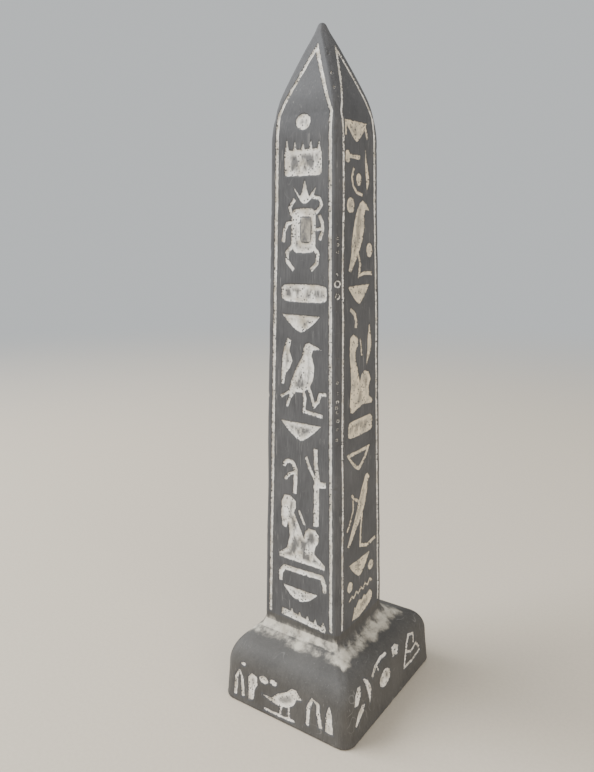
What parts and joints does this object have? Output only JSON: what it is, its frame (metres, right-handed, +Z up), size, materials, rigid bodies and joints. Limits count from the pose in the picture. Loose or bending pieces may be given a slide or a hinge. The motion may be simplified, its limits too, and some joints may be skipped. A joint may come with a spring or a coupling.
{
  "type": "obelisk",
  "caption": "Small souvenir obelisk: tapering square shaft with a pyramidal tip on a rounded plinth, with white-washed sunk picture signs on all sides",
  "frame": {"origin": "middle of the plinth's underside, on the table", "axes": "+Z up along the shaft, +Y from the front signs to the back, +X to the right side's signs; the plinth is longer along Y"},
  "size_m": [0.047, 0.0564, 0.2],
  "materials": {
    "stone": "honed, brushed along the shaft",
    "white_wash": "matt chalky wash"
  },
  "bodies": {
    "root": {"casting": "stone", "border_lines": "white_wash", "wash_sun_disc": "white_wash", "wash_game_board": "white_wash", "wash_scarab": "white_wash", "wash_bolt": "white_wash", "wash_upper_basket": "white_wash", "wash_cobra_feather": "white_wash", "wash_vulture": "white_wash", "wash_lower_basket": "white_wash", "wash_hooked_plant": "white_wash", "wash_seated_figure": "white_wash", "wash_sceptre": "white_wash", "wash_sky": "white_wash", "wash_crescent": "white_wash", "wash_comb": "white_wash", "wash_bull_head": "white_wash", "wash_mallet": "white_wash", "wash_spindle": "white_wash", "wash_curl": "white_wash", "wash_small_ovals": "white_wash", "wash_falcon": "white_wash", "wash_bowl": "white_wash", "wash_snake": "white_wash", "wash_tall_feather": "white_wash", "wash_dog": "white_wash", "wash_oblong": "white_wash", "wash_leaf_ring": "white_wash", "wash_heron": "white_wash", "wash_pear": "white_wash", "wash_water": "white_wash", "wash_spiked_crescent": "white_wash", "wash_doorway": "white_wash", "wash_plinth_feather": "white_wash", "wash_pellets": "white_wash", "wash_quail": "white_wash", "wash_crook": "white_wash", "wash_reed": "white_wash", "wash_long_leaf": "white_wash", "wash_stemmed_drop": "white_wash", "wash_flank_feather": "white_wash", "wash_pronged": "white_wash", "wash_round_drop": "white_wash", "wash_small_leaf": "white_wash", "wash_kneeling_figure": "white_wash"}
  },
  "joints": []
}
